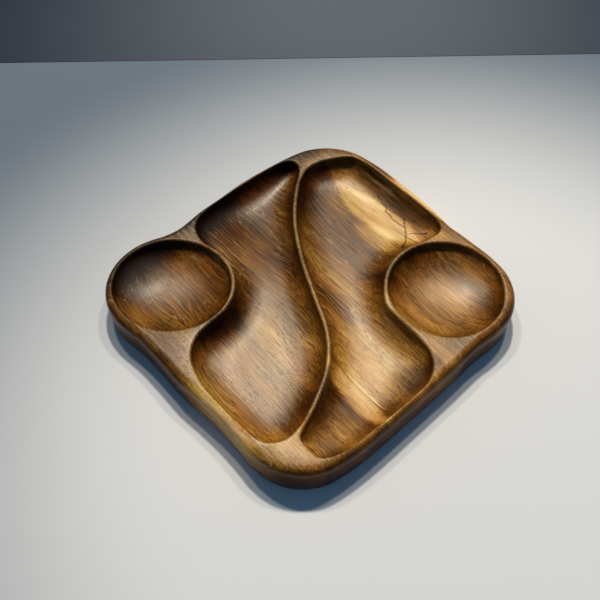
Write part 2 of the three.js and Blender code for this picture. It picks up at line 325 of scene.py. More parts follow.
# %% The lips of the bays
bay_rim = 6 * mm
ridge_width = 4 * mm
ridge_steps = 6
divider_steps = 18
divider_shares = [
    (-0.825, 0.6), (-0.68, 0.428), (-0.48, 0.25), (-0.233, 0.096), (0.053, -0.04),
    (0.313, -0.16), (0.487, -0.3), (0.627, -0.51), (0.712, -0.7),
]
back_run_shares = (0.06, 0.955)
front_run_shares = (0.975, 0.045)
back_start_shares = [
    (0.765, -0.725), (0.84, -0.737), (0.925, -0.72), (0.982, -0.62), (0.993, -0.4),
    (0.99, -0.09), (0.975, 0.03), (0.93, 0.11), (0.84, 0.18), (0.74, 0.2),
    (0.62, 0.207), (0.5, 0.214), (0.41, 0.228),
]
back_end_shares = [
    (0.213, 0.82), (0.215, 0.875), (0.188, 0.925), (0.11, 0.955), (-0.14, 0.968), (-0.4, 0.972),
    (-0.6, 0.968), (-0.7, 0.94), (-0.765, 0.86), (-0.815, 0.75), (-0.825, 0.65),
]
front_start_shares = [
    (-0.88, 0.6), (-0.94, 0.605), (-0.985, 0.56), (-1.002, 0.42), (-1, 0.23),
    (-0.99, 0.06), (-0.972, -0.1), (-0.94, -0.2), (-0.865, -0.272),
]
front_end_shares = [
    (-0.155, -0.76), (-0.08, -0.85), (0.05, -0.905), (0.2, -0.925), (0.4, -0.922),
    (0.56, -0.91), (0.66, -0.88), (0.715, -0.8),
]
back_ridge_degrees = (-135, -205)
front_ridge_degrees = (112, 0)

half_board = np.array([length, width]) / 2
divider = smooth_line(np.array(divider_shares) * half_board, False)


def rim_run(shares):
    """Points near the rim, from their shares of half the board inside the rim."""
    return np.array(shares) * (half_board - bay_rim)


def divider_run(shares, sideways):
    """Points beside the ridge, half of its width to one side."""
    places, ways = along(divider, np.linspace(*shares, divider_steps + 1))
    return places + np.column_stack([-ways[:, 1], ways[:, 0]]) * sideways * ridge_width / 2


def ridge_run(centre, oval_share, oval_degrees, ridge_degrees):
    """Points along the far side of the ridge round a bowl."""
    angles = np.radians(np.linspace(*ridge_degrees, ridge_steps + 1))
    oval = 1 + oval_share * np.cos(2 * (angles - math.radians(oval_degrees)))
    reach = (bowl_radius * oval + ridge_width)[:, None]
    return centre + reach * np.column_stack([np.cos(angles), np.sin(angles)])


back_lip = smooth_line(np.vstack([
    rim_run(back_start_shares),
    ridge_run(back_bowl, back_oval_share, back_oval_degrees, back_ridge_degrees),
    rim_run(back_end_shares),
    divider_run(back_run_shares, 1),
]), True)
front_lip = smooth_line(np.vstack([
    rim_run(front_start_shares),
    ridge_run(front_bowl, front_oval_share, front_oval_degrees, front_ridge_degrees),
    rim_run(front_end_shares),
    divider_run(front_run_shares, -1),
]), True)
print("bay lips of", len(back_lip), "and", len(front_lip), "points")

# %% [markdown]
# The bay cutter could be sculpted, or extruded and inset many times, but a long hollow that bends keeps
# its flow best as sections laid from tip to tip. A grid gives the faces: one direction runs along the
# bay, the other down the outer wall, across the floor and up to the ridge. The depth of a floor point
# follows how far the lip is from it on all sides, evened out so that no crease forms along the middle.

# %% Lay out the bay cutters
bay_depth = 18.5 * mm
bay_reach = 29 * mm
bay_stations = 220
floor_steps = 44
lip_samples = 3000
outline_samples = 8 * outline_count
back_tip_shares = (0.016, 0.62)
front_tip_shares = (0.006, 0.577)
outline_closed = np.vstack([outline, outline[:1]])
outline_fine, _ = along(outline_closed, np.linspace(0, 1, outline_samples))


def edge_drop(places):
    """How far the board's rounded top edge has fallen at some places."""
    gaps = np.linalg.norm(places[:, None] - outline_fine[None], axis=2).min(1)
    return round_over - np.sqrt(round_over ** 2 - (round_over - np.minimum(gaps, round_over)) ** 2)


def open_distance(samples, places):
    """How far places are from a lip, evened out where two stretches of it are equally near."""
    spans = np.linalg.norm(samples - np.roll(samples, -1, axis=0), axis=1)
    gaps = np.linalg.norm(places[:, None] - samples[None], axis=2)
    pull = (spans / np.maximum(gaps, spans) ** 3).sum(1)
    # Beside a long straight lip the pull is 2 over the square of the distance.
    return np.sqrt(2 / pull)


def lip_columns(lip, shares):
    """For each share of the way round a lip, the column of points from the wall up over the lip."""
    places, ways = along(lip, np.mod(shares, 1))
    outward = np.column_stack([ways[:, 1], -ways[:, 0]])
    base = thickness - lip_radius - edge_drop(places)
    columns = []
    for out, rise in zip(lip_out, lip_rise):
        columns.append(np.column_stack([places + outward * out, base + rise]))
    top = columns[-1].copy()
    top[:, 2] = thickness + overrun
    return np.stack(columns + [top], axis=1)


def bay_sections(lip, tips):
    """The sections of a bay from tip to tip, each from the outer lip across to the ridge."""
    samples, _ = along(lip, np.arange(1, lip_samples + 1) / lip_samples)
    outer = lip_columns(lip, np.linspace(tips[0], tips[1], bay_stations + 1))
    inner = lip_columns(lip, np.linspace(tips[0] + 1, tips[1], bay_stations + 1))
    shares = (1 - np.cos(math.pi * np.arange(1, floor_steps) / floor_steps)) / 2
    floor = outer[:, :1] + (inner[:, :1] - outer[:, :1]) * shares[None, :, None]
    for section in floor:
        fall = wall_fall(np.minimum(open_distance(samples, section[:, :2]) / bay_reach, 1))
        section[:, 2] += (thickness - bay_depth - section[:, 2]) * fall
    return np.concatenate([outer[:, ::-1], floor, inner], axis=1)


def bay_cutter(name, lip, tips):
    """A bay's cutter: a grid laid over its sections and closed above the board."""
    sections = bay_sections(lip, tips)
    across = sections.shape[1] - 1
    bm = bmesh.new()
    bmesh.ops.create_grid(bm, x_segments=bay_stations, y_segments=across, size=1)
    for v in bm.verts:
        station = round((v.co.x + 1) / 2 * bay_stations)
        v.co = sections[station, round((v.co.y + 1) / 2 * across)]
    bmesh.ops.remove_doubles(bm, verts=bm.verts, dist=merge_distance)
    bmesh.ops.edgeloop_fill(bm, edges=[e for e in bm.edges if e.is_boundary])
    bmesh.ops.recalc_face_normals(bm, faces=bm.faces)
    open_edges = sum(not e.is_manifold for e in bm.edges)
    print(name, "has", len(bm.faces), "faces and", open_edges, "open edges")
    return shape(name, bm)


cutters.append(bay_cutter("back_bay_cutter", back_lip, back_tip_shares))
cutters.append(bay_cutter("front_bay_cutter", front_lip, front_tip_shares))

# %% [markdown]
# Carving is a boolean difference. All four cutters are taken away in turn and the result becomes the
# dish's own mesh, so that no live modifier is left.

# %% Carve the dish


def carve(board, tools):
    """Takes the cutters away from the board and keeps the result as the board's mesh."""
    for tool in tools:
        cut = board.modifiers.new(tool.name, "BOOLEAN")
        cut.operation = "DIFFERENCE"
        cut.solver = "MANIFOLD"
        cut.object = tool
    finished = board.evaluated_get(bpy.context.evaluated_depsgraph_get())
    carved = bpy.data.meshes.new_from_object(finished)
    board.modifiers.clear()
    board.data = carved
    for tool in tools:
        bpy.data.objects.remove(tool)


carve(dish, cutters)
print("carved dish with", len(dish.data.vertices), "vertices")

# %% [markdown]
# The glue lines come last. The whole dish is first scored along them, so that each vertex keeps the
# normal of the unbroken surface, and the sheen runs over the joints as it does on sanded wood. Then each
# stave is cut free and its two glue faces are closed.

# %% Part the dish into staves
glue_lines = [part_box(name)[1].y for name in staves[:-1]]
cut_tolerance = mm / 100
glue_face_slope = 0.999


def all_parts(bm):
    """The vertices, edges and faces of a bmesh."""
    return [*bm.verts, *bm.edges, *bm.faces]


def scored_dish():
    """The carved dish with a row of edges on each glue line, and the surface's normals kept."""
    bm = bmesh.new()
    bm.from_mesh(dish.data)
    for y in glue_lines:
        bmesh.ops.bisect_plane(bm, geom=all_parts(bm), plane_co=(0, y, 0), plane_no=(0, 1, 0))
    bm.normal_update()
    kept = bm.verts.layers.float_vector.new("surface_normal")
    for v in bm.verts:
        v[kept] = v.normal
    return bm


def free_stave(whole, name):
    """One stave of the scored dish, with its glue faces closed."""
    low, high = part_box(name)
    bm = whole.copy()
    for y, keep in ((low.y, 1), (high.y, -1)):
        if abs(y) < width / 2 - cut_tolerance:
            cut = bmesh.ops.bisect_plane(
                bm, geom=all_parts(bm), dist=cut_tolerance,
                plane_co=(0, y, 0), plane_no=(0, -keep, 0), clear_outer=True,
            )
            edges = [part for part in cut["geom_cut"] if isinstance(part, bmesh.types.BMEdge)]
            bmesh.ops.contextual_create(bm, geom=[e for e in edges if e.is_boundary])
    return bm


def keep_surface_normals(mesh):
    """Gives each corner of the carved faces the unbroken surface's normal, and flat ones to glue faces."""
    kept = mesh.attributes["surface_normal"].data
    normals = []
    for face in mesh.polygons:
        face.use_smooth = True
        glued = abs(face.normal.y) > glue_face_slope
        for corner_index in face.loop_indices:
            vertex = mesh.loops[corner_index].vertex_index
            normals.append(face.normal if glued else kept[vertex].vector)
    mesh.normals_split_custom_set(normals)
    mesh.attributes.remove(mesh.attributes["surface_normal"])


whole = scored_dish()
pieces = {}
for name in staves:
    stave = shape(name + "_walnut", free_stave(whole, name))
    keep_surface_normals(stave.data)
    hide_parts(name)
    pieces[name] = stave
    print(stave.name, "has", len(stave.data.polygons), "faces")
whole.free()
bpy.data.objects.remove(dish)

# %% [markdown]
# Now the wood. Walnut's figure isn't painted on: a cut shows what was inside the board, so the same
# growth rings that run straight along a stave close into loops on the wall of a bowl. A texture wrapped
# over the surface couldn't do that. The material is therefore built in space, on Object coordinates, in
# layers: streaks, rings, fibres, pores and patches of sapwood, with painted shade on some walls and a
# painted highlight on lips and some floors. One number, the tone, gathers the layers, and a ramp turns it
# into colour, as a maker would sort offcuts from dark heartwood to cream sapwood.

# %% Helpers for the wood's nodes
noise_roughness = 0.55


def node(tree, kind, feeds, **settings):
    """A new node with its settings made, and each input given a value or a link."""
    made = tree.nodes.new("ShaderNode" + kind)
    for name, value in settings.items():
        setattr(made, name, value)
    for name, feed in feeds.items():
        if isinstance(feed, bpy.types.NodeSocket):
            tree.links.new(feed, made.inputs[name])
        else:
            made.inputs[name].default_value = feed
    return made


def reckon(tree, operation, first, second=0.0):
    """The result of a sum with one or two numbers."""
    return node(tree, "Math", {0: first, 1: second}, operation=operation).outputs[0]


def reckon_place(tree, operation, *feeds):
    """The place that a sum with some places gives."""
    return node(tree, "VectorMath", dict(enumerate(feeds)), operation=operation).outputs["Vector"]


def reckon_reach(tree, operation, *feeds):
    """The number that a sum with some places gives, such as a distance."""
    return node(tree, "VectorMath", dict(enumerate(feeds)), operation=operation).outputs["Value"]


def gather(tree, total, changes):
    """A number after some changes are added to it."""
    for change in changes:
        total = reckon(tree, "ADD", change, total)
    return total


def fade(tree, value, span, low=0.0, high=1.0):
    """A smooth change from one number to another, while a value crosses a span."""
    feeds = {"Value": value, "From Min": span[0], "From Max": span[1], "To Min": low, "To Max": high}
    return node(tree, "MapRange", feeds, interpolation_type="SMOOTHSTEP").outputs[0]


def noise(tree, places, seed, layer, width, stretch, detail):
    """Soft random streaks of a width, drawn out along the grain. A layer's number shifts its seed."""
    start = (seed + layer, seed + layer, 0)
    laid = node(tree, "Mapping", {"Vector": places, "Location": start, "Scale": (1 / stretch, 1, 1)})
    feeds = {"Vector": laid.outputs[0], "Scale": 1 / width, "Detail": detail}
    return node(tree, "TexNoise", {**feeds, "Roughness": noise_roughness}).outputs["Fac"]


def swing(tree, value, amount):
    """A noise turned into an amount to either side of nothing."""
    return reckon(tree, "MULTIPLY", reckon(tree, "SUBTRACT", value, 0.5), amount)


def mix(tree, share, first, second, blend="MIX"):
    """Two colours blended by a share."""
    feeds = {"Factor": share, 6: first, 7: second}
    return node(tree, "Mix", feeds, data_type="RGBA", blend_type=blend).outputs[2]


print("nine helpers for the wood's nodes")

# %% [markdown]
# The grain is never ruler straight. Before any layer reads its place, the place is shifted a little to
# and fro by a slow noise, so that streaks, rings and fibres all wander together.

# %% Bend the grain
wander_noise = dict(width=45 * mm, stretch=2.6, detail=3.0)
wander_reach = 16 * mm
side_layer = 0
lift_layer = 7


def grain_places(tree, seed):
    """Places in the stave, as they are and as the wandering grain meets them."""
    plain = node(tree, "TexCoord", {}).outputs["Object"]
    side_shift = swing(tree, noise(tree, plain, seed, side_layer, **wander_noise), wander_reach)
    lift_shift = swing(tree, noise(tree, plain, seed, lift_layer, **wander_noise), wander_reach)
    shift = node(tree, "CombineXYZ", {"Y": side_shift, "Z": lift_shift}).outputs[0]
    return plain, reckon_place(tree, "ADD", plain, shift)


print("the grain wanders within", round(wander_reach / mm, 1), "mm")

# %% [markdown]
# Walnut is open-pored: its vessels show as short dark dashes along the grain, thick in some places and
# scarce in others. A drawn-out noise keeps only its highest peaks as dashes. Where a wall cuts across
# the grain the open ends drink up more oil, so the wood darkens with the slope towards the stave's ends.
# This darkening is partly that end grain and partly painted shade, which deepens the steep walls.

# %% Pores, and end grain with painted shade
pore_noise = dict(layer=11, width=0.8 * mm, stretch=9, detail=1.0)
pore_span = (0.60, 0.72)
pore_crowd_noise = dict(layer=12, width=24 * mm, stretch=3, detail=1.0)
pore_crowd_span = (0.40, 0.62)
pore_crowd_least = 0.25
pore_depth = 0.34
end_grain_and_shade_span = (0.1, 0.75)
end_grain_and_shade_depth = 0.19


def pores(tree, bent, seed):
    """The dark dashes of the open pores, as a change of tone."""
    dashes = fade(tree, noise(tree, bent, seed, **pore_noise), pore_span)
    crowd = fade(tree, noise(tree, bent, seed, **pore_crowd_noise), pore_crowd_span, pore_crowd_least)
    return reckon(tree, "MULTIPLY", reckon(tree, "MULTIPLY", dashes, crowd), -pore_depth)


def end_grain_and_shade(tree):
    """How far a wall cuts across the grain, and the darkening there, end grain and painted shade, as a
    change of tone.
    """
    normal = node(tree, "SeparateXYZ", {0: node(tree, "TexCoord", {}).outputs["Normal"]})
    across = reckon(tree, "ABSOLUTE", normal.outputs["X"])
    return across, fade(tree, across, end_grain_and_shade_span, 0.0, -end_grain_and_shade_depth)


print("pores and end grain darken the tone by up to", pore_depth, "and", end_grain_and_shade_depth)

# %% [markdown]
# The fibres are what the eye takes for grain: fine lines that run on for centimetres, some pale where
# the light catches a torn cell and some dark. A drawn-out noise gives them. Where a wider noise passes
# its middle value, it is picked out as a thin line, and these are the long pale lines.

# %% Fibres and pale lines
fibre_noise = dict(layer=3, width=1.3 * mm, stretch=30, detail=3.0)
fibre_span = (0.36, 0.64)
fibre_depth = 0.18
pale_line_noise = dict(layer=13, width=7 * mm, stretch=22, detail=2.0)
pale_line_span = (0.0032, 0.016)
pale_crowd_noise = dict(layer=14, width=21 * mm, stretch=3, detail=1.0)
pale_crowd_span = (0.42, 0.60)


def fibres(tree, bent, seed):
    """Fine pale and dark lines along the grain, as a change of tone."""
    return swing(tree, fade(tree, noise(tree, bent, seed, **fibre_noise), fibre_span), fibre_depth)


def pale_lines(tree, bent, seed):
    """Thin lines where a drawn-out noise is at its middle, from nought to one."""
    value = noise(tree, bent, seed, **pale_line_noise)
    off = reckon(tree, "ABSOLUTE", reckon(tree, "SUBTRACT", value, 0.5))
    line = fade(tree, off, pale_line_span, 1.0, 0.0)
    crowd = fade(tree, noise(tree, bent, seed, **pale_crowd_noise), pale_crowd_span)
    return reckon(tree, "MULTIPLY", line, crowd)


print("fibres change the tone by up to", fibre_depth / 2)

# %% [markdown]
# A lip or a ridge is sanded from all sides and handled most, so it is paler than the walls beside it,
# and the short grain shows there as specks. The paleness is also a painted highlight for the light that
# the rounded crests catch. A mask painted by hand could say where, but every lip of this dish lies
# within 3 mm of the top, so the height alone tells it. The ridges inside the rim are the palest, so the
# paleness weakens towards the board's edge.

# %% Pale lips: sanded wood and a painted highlight
lip_span = (29.3 * mm, 31.4 * mm)
rim_span = (0.80, 0.88)
rim_paleness = 0.3
speck_noise = dict(layer=15, width=2.0 * mm, stretch=1.5, detail=1.0)
speck_span = (0.38, 0.60)
speck_least = 0.35


def pale_lip_crests(tree, plain, seed):
    """How much a place is part of a pale lip, from nought to one, and how pale it is: sanded wood and a
    painted highlight.
    """
    height = node(tree, "SeparateXYZ", {0: plain}).outputs["Z"]
    specks = fade(tree, noise(tree, plain, seed, **speck_noise), speck_span, speck_least)
    lips = reckon(tree, "MULTIPLY", fade(tree, height, lip_span), specks)
    shares = reckon_place(tree, "MULTIPLY", plain, (2 / length, 2 / width, 0))
    outward = node(tree, "SeparateXYZ", {0: reckon_place(tree, "ABSOLUTE", shares)}).outputs
    outward = reckon(tree, "MAXIMUM", outward["X"], outward["Y"])
    paleness = fade(tree, outward, rim_span, 1.0, rim_paleness)
    return lips, reckon(tree, "MULTIPLY", lips, paleness)


print("lips are paler above", round(lip_span[0] / mm, 1), "mm")

# %% [markdown]
# Growth rings lie round the heart of the tree, here a line along the stave, below the board and to one
# side of it, so that the rings cut the floors as straight lines and the walls as arcs. A ring's early
# wood is open and pale, and its late wood dense and dark. A saw-shaped wave counts each ring from nought
# to one, so the dark line lies at its end and the pale one at its start.

# %% Growth rings
# A wave texture of scale 1 turns 20 radians in each metre.
wave_radians = 20
ring_unevenness = {"Distortion": 0.6, "Detail": 3.0, "Detail Scale": 0.6, "Detail Roughness": 0.6}
late_wood_span = (0.72, 0.97)
late_wood_depth = 0.13
early_wood_span = (0.04, 0.16)
ring_crowd_noise = dict(layer=0, width=26 * mm, stretch=3, detail=1.0)
ring_crowd_span = (0.36, 0.60)
ring_crowd_least = 0.2


def rings(tree, bent, heart, spacing):
    """The late wood of the rings round a heart line, as a change of tone, and the early wood."""
    from_heart = node(tree, "Mapping", {"Vector": bent, "Location": (0, -heart[0], -heart[1])}).outputs[0]
    feeds = {"Vector": from_heart, "Scale": math.tau / wave_radians / spacing, **ring_unevenness}
    wave = node(tree, "TexWave", feeds, wave_type="RINGS", rings_direction="X", wave_profile="SAW")
    late = fade(tree, wave.outputs["Fac"], late_wood_span, 0.0, -late_wood_depth)
    early = fade(tree, wave.outputs["Fac"], early_wood_span, 1.0, 0.0)
    # The spacing serves as the seed here.
    crowd = fade(tree, noise(tree, bent, spacing, **ring_crowd_noise), ring_crowd_span, ring_crowd_least)
    return reckon(tree, "MULTIPLY", late, crowd), reckon(tree, "MULTIPLY", early, crowd)


print("late wood darkens the tone by up to", late_wood_depth)

# %% [markdown]
# Sapwood shows as pale patches where the carving meets the outside of the log, and heartwood as darker
# ones. Other patches are painted light: darker ones are painted shade on walls that face away from the
# lamps, and a few lighter ones are a painted highlight where the sheen lies in the bowls and the back bay.
# Each patch here is an ellipse in the plan with ragged ends along the grain, which lifts or lowers the
# tone. A list keeps them readable: where the patch lies, how far it reaches, and how much it changes.

# %% Patches of sapwood and heartwood, with painted shade and painted highlight
patches = [
    # middle x and y, half length and half width in mm, lift of the tone, softness of the edge
    (-38, 117, 54, 16, 0.40, 0.2),
    (-14, 98, 27, 12, 0.32, 0.4),
    (-78, 98, 26, 14, 0.10, 0.8),
    (-66, 129, 30, 9, 0.18, 0.6),
    (-8, 141, 44, 6, -0.12, 0.4),
    (0, 130, 36, 8, 0.14, 0.6),
    (28, 126, 20, 16, 0.12, 0.8),
    (24, 90, 8, 14, 0.12, 0.8),
    (22, 54, 14, 12, -0.10, 0.8),
    # painted shade on the back bay's left wall, which faces away from the lamps
    (-104, 92, 18, 16, -0.16, 0.6),
    (-72, 151, 20, 8, -0.18, 0.6),
    (4, 155, 52, 7, 0.60, 0.4),
    (-45, 68, 66, 20, -0.08, 0.8),
    (-4, 28, 54, 18, 0.22, 0.8),
    # the next two are a painted highlight where the back bowl's sheen lies
    (80, 96, 30, 18, 0.20, 0.8),
    (88, 74, 34, 16, 0.12, 0.8),
    (80, 52, 34, 12, 0.22, 0.8),
    (126, 78, 10, 20, 0.10, 0.8),
    (126, 52, 10, 14, -0.12, 0.7),
    # partly paler wood and partly a painted highlight on the back bay's sheen
    (86, 0, 46, 28, 0.28, 0.8),
    (72, -29, 20, 9, 0.15, 0.6),
    # partly paler wood and partly a painted highlight on the back bay's sheen
    (104, -20, 26, 16, 0.16, 0.7),
    (127, 6, 12, 20, -0.24, 0.6),
    (126, 34, 14, 10, 0.14, 0.8),
    (106, -42, 36, 9, 0.42, 0.3),
    (112, -78, 34, 24, -0.10, 0.8),
    (144, -6, 8, 80, 0.20, 0.8),
    (-40, 14, 60, 20, -0.12, 0.8),
    # painted shade along the front bay's left wall
    (-124, -4, 24, 40, -0.24, 0.8),
    # painted shade on the front bowl's back wall
    (-66, -48, 36, 8, -0.12, 0.7),
    (128, -70, 18, 14, 0.30, 0.7),
    (126, -132, 12, 14, -0.14, 0.8),
    (-100, 32, 30, 14, -0.12, 0.8),
    (-60, -16, 50, 11, 0.06, 0.8),
    (20, -78, 60, 44, 0.14, 0.8),
    (-6, -50, 24, 12, 0.10, 0.8),
    (80, -92, 12, 20, -0.08, 0.8),
    (104, -90, 12, 22, 0.12, 0.8),
    (-2, -114, 16, 12, -0.12, 0.8),
    (28, -128, 44, 14, 0.10, 0.8),
    # painted shade at the foot of the ridge beside the front bowl
    (-24, -86, 12, 28, -0.26, 0.8),
    (42, -39, 15, 7, 0.14, 0.6),
    (-72, -134, 22, 6, 0.12, 0.6),
    # painted shade on the front bowl's left wall
    (-116, -126, 26, 20, -0.22, 0.8),
    # painted highlight where the front bowl's sheen lies
    (-98, -98, 22, 22, 0.09, 0.8),
    (-34, -130, 40, 10, -0.16, 0.7),
    (54, -149, 40, 8, 0.40, 0.5),
    (110, -116, 22, 20, 0.18, 0.7),
    (-142, -55, 16, 50, -0.44, 0.8),
    (-116, -44, 16, 9, -0.14, 0.8),
    (-142, 110, 15, 36, -0.40, 0.6),
    # painted shade on the back bay's left wall
    (-92, 78, 18, 18, -0.12, 0.8),
    (-98, 128, 12, 12, 0.10, 0.8),
    (-50, -151, 84, 9, -0.25, 0.8),
    # painted shade on the front bowl's left wall
    (-125, -118, 18, 30, -0.22, 0.8),
]


def patch(tree, places, ragged, ellipse, lift, softness):
    """What one patch adds. Its ellipse has a middle and half sizes in mm."""
    x, y, half_x, half_y = [size * mm for size in ellipse]
    off = reckon_place(tree, "SUBTRACT", places, (x, y, 0))
    shares = reckon_place(tree, "MULTIPLY", off, (1 / half_x, 1 / half_y, 0))
    reach = reckon(tree, "ADD", reckon_reach(tree, "LENGTH", shares), ragged)
    return fade(tree, reach, (1 + softness, 1 - softness), 0.0, lift)


print(len(patches), "patches")

# %% [markdown]
# A drying crack with one branch, filled and sanded flat, edges the largest sapwood patch. Each is a line
# through a few points: for each stretch of it the nodes find the nearest point, and the least distance
# darkens the tone. The places are shaken a little first, so that the line looks broken and not drawn.

# %% The drying crack
crack_lines = [
    # x and y in mm
    [
        (-53, 134.5), (-44, 132), (-36, 130), (-33, 126), (-20, 125),
        (-4, 125), (3, 119), (10, 112), (13, 103),
    ],
    [(-13, 132), (-4, 125), (2, 121), (17, 134)],
]
crack_noise = dict(width=6 * mm, stretch=1, detail=5.0)
crack_x_layer = 21
crack_y_layer = 22
crack_shake = 4 * mm
crack_span = (0.4 * mm, 1 * mm)
crack_depth = 0.36
crack_start = min(y for line in crack_lines for x, y in line) * mm
far_off = 1.0


def crack(tree, plain, seed):
    """The crack's change of tone."""
    shake_x = swing(tree, noise(tree, plain, seed, crack_x_layer, **crack_noise), crack_shake)
    shake_y = swing(tree, noise(tree, plain, seed, crack_y_layer, **crack_noise), crack_shake)
    shake = node(tree, "CombineXYZ", {"X": shake_x, "Y": shake_y}).outputs[0]
    flat = reckon_place(tree, "MULTIPLY_ADD", plain, (1, 1, 0), shake)
    least = far_off
    for start, end in [pair for line in crack_lines for pair in zip(line, line[1:])]:
        first = Vector((*start, 0)) * mm
        run = Vector((*end, 0)) * mm - first
        off = reckon_place(tree, "SUBTRACT", flat, first)
        share = reckon_reach(tree, "DOT_PRODUCT", off, run / run.length_squared)
        share = node(tree, "Clamp", {"Value": share}).outputs[0]
        foot = node(tree, "VectorMath", {0: run, "Scale": share}, operation="SCALE").outputs[0]
        least = reckon(tree, "MINIMUM", reckon_reach(tree, "DISTANCE", off, foot), least)
    return fade(tree, least, crack_span, -crack_depth, 0.0)


print("crack of", len(crack_lines), "lines, from", round(crack_start / mm), "mm on")

# %% [markdown]
# The layers come together in two steps. First the tone gathers the broad changes: wide streaks, end
# grain with its painted shade, lips with their painted highlight, and patches, some of them painted shade
# and highlight. Then it takes the fine figure of narrow streaks, late wood, fibres and pores.
# Added all at once they would leave pale wood looking dirty, so the figure is fainter in sapwood, and
# fainter too where a wall cuts across the grain.

# %% Gather the tone
streak_noise = dict(layer=1, width=20 * mm, stretch=4.5, detail=3.0)
streak_swing = 0.62
ragged_noise = dict(layer=4, width=18 * mm, stretch=2.4, detail=4.0)
ragged_swing = 0.6
narrow_streak_noise = dict(layer=2, width=4.5 * mm, stretch=20, detail=4.0)
narrow_streak_swing = 0.28
sapwood_span = (0.60, 0.85)
sapwood_figure = 0.45
figure_slope_span = (0.15, 0.6)
end_grain_figure = 0.5


def broad_tone(tree, bent, seed, tone, low, high, changes):
    """A stave's tone after its wide streaks, some changes, and the patches of wood and of painted light
    that reach it.
    """
    streaks = swing(tree, noise(tree, bent, seed, **streak_noise), streak_swing)
    ragged = swing(tree, noise(tree, bent, seed, **ragged_noise), ragged_swing)
    changes = [streaks, *changes]
    for *ellipse, lift, softness in patches:
        _, y, _, half_y = ellipse
        if low.y < (y + half_y) * mm and (y - half_y) * mm < high.y:
            changes.append(patch(tree, bent, ragged, ellipse, lift, softness))
    return gather(tree, tone, changes)


def fine_figure(tree, bent, seed, tone, across, layers):
    """The fine figure, as a change of tone."""
    streaks = swing(tree, noise(tree, bent, seed, **narrow_streak_noise), narrow_streak_swing)
    figure = gather(tree, streaks, layers)
    figure = reckon(tree, "MULTIPLY", figure, fade(tree, tone, sapwood_span, 1.0, sapwood_figure))
    return reckon(tree, "MULTIPLY", figure, fade(tree, across, figure_slope_span, 1.0, end_grain_figure))


print("streaks change the tone by up to", streak_swing / 2, "and", narrow_streak_swing / 2)

# %% [markdown]
# A lighter tone alone would turn pale places orange, so a beige is mixed in as a colour of its own.
# It takes the pale lines and the lips. On four flat stretches of floor it is a painted sheen, laid where
# the lamps' reflection falls. Walls that cut across the grain get little of it, because pale lines would
# look like scribbles there.

# %% Beige wood, and a painted sheen on the floors
pale_and_sheen_beige = (0.50, 0.35, 0.17, 1)
line_bleach = 0.42
line_slope_span = (0.1, 0.45)
lip_beige_share = 0.30
soft_edge = 0.8
painted_sheen_slope_span = (0.05, 0.35)
# stretches of floor where the beige is a painted sheen
painted_sheen_floors = [
    # middle x and y, half length and half width in mm, share of beige
    (26, -82, 52, 38, 0.18), (84, 92, 32, 28, 0.14), (-94, -96, 26, 24, 0.05), (84, -4, 40, 26, 0.12),
]


def beige_and_painted_sheen(tree, bent, lines, pale_lips, across):
    """How far a place turns beige, from nought to one, with a painted sheen on some flat floors."""
    level = fade(tree, across, painted_sheen_slope_span, 1.0, 0.0)
    changes = [reckon(tree, "MULTIPLY", pale_lips, lip_beige_share)]
    for *ellipse, share in painted_sheen_floors:
        beige = patch(tree, bent, 0.0, ellipse, share, soft_edge)
        changes.append(reckon(tree, "MULTIPLY", beige, level))
    return gather(tree, reckon(tree, "MULTIPLY", lines, line_bleach), changes)


print("lines, lips and", len(painted_sheen_floors), "parts of the floors are bleached")

# %% [markdown]
# A ramp turns the tone into colour, from nearly black heartwood to cream sapwood. Walnut isn't one hue
# either: some stretches are redder and some more olive, so a slow noise chooses between two tints.

# %% The colour of the walnut
walnut_ramp = [
    (0.0, (0.008, 0.0022, 0.0001)), (0.16, (0.036, 0.0095, 0.0004)), (0.34, (0.112, 0.040, 0.002)),
    (0.5, (0.225, 0.092, 0.010)), (0.66, (0.40, 0.20, 0.035)), (0.82, (0.64, 0.38, 0.12)),
    (1.0, (0.88, 0.63, 0.33)),
]
red_tint = (1.08, 0.95, 1.0, 1)
olive_tint = (0.98, 1.0, 0.78, 1)
tint_noise = dict(layer=5, width=26 * mm, stretch=3, detail=3.0)
tint_span = (0.36, 0.64)


def walnut_colour(tree, tone, bleach_and_sheen, bent, seed):
    """The tone as a colour, redder or more olive in some places, and beige where it's pale or where a
    sheen is painted.
    """
    ramp = node(tree, "ValToRGB", {"Fac": tone})
    for place, _ in walnut_ramp[1:-1]:
        ramp.color_ramp.elements.new(place)
    for stop, (place, colour) in zip(ramp.color_ramp.elements, walnut_ramp):
        stop.position = place
        stop.color = (*colour, 1)
    share = fade(tree, noise(tree, bent, seed, **tint_noise), tint_span)
    tint = mix(tree, share, red_tint, olive_tint)
    wooden = mix(tree, 1.0, ramp.outputs["Color"], tint, "MULTIPLY")
    return mix(tree, bleach_and_sheen, wooden, pale_and_sheen_beige)


print("a ramp of", len(walnut_ramp), "colours")

# %% [markdown]
# The clear coat is satin, and here and there it was rubbed dull, so a few patches raise the roughness.
# Under it the wood isn't quite flat: pores and dark fibres lie a little lower than the rest. That relief
# is less than a tenth of a millimetre deep, too fine for faces, so a bump gives it.

# %% Sheen and relief
sheen_roughness = 0.31
dull_roughness = 0.30
dull_patches = [
    # middle x and y, half length and half width in mm
    (-88, -4, 40, 30), (118, -76, 18, 30), (-131, -114, 17, 27),
    (-118, -16, 22, 22), (126, 0, 14, 22), (4, 134, 44, 13),
]
varnish_specular = 0.23
line_relief = 0.08
bump_height = 0.12 * mm


def sheen(tree, plain):
    """The roughness of the clear coat."""
    dull = [patch(tree, plain, 0.0, ellipse, dull_roughness, soft_edge) for ellipse in dull_patches]
    return gather(tree, sheen_roughness, dull)


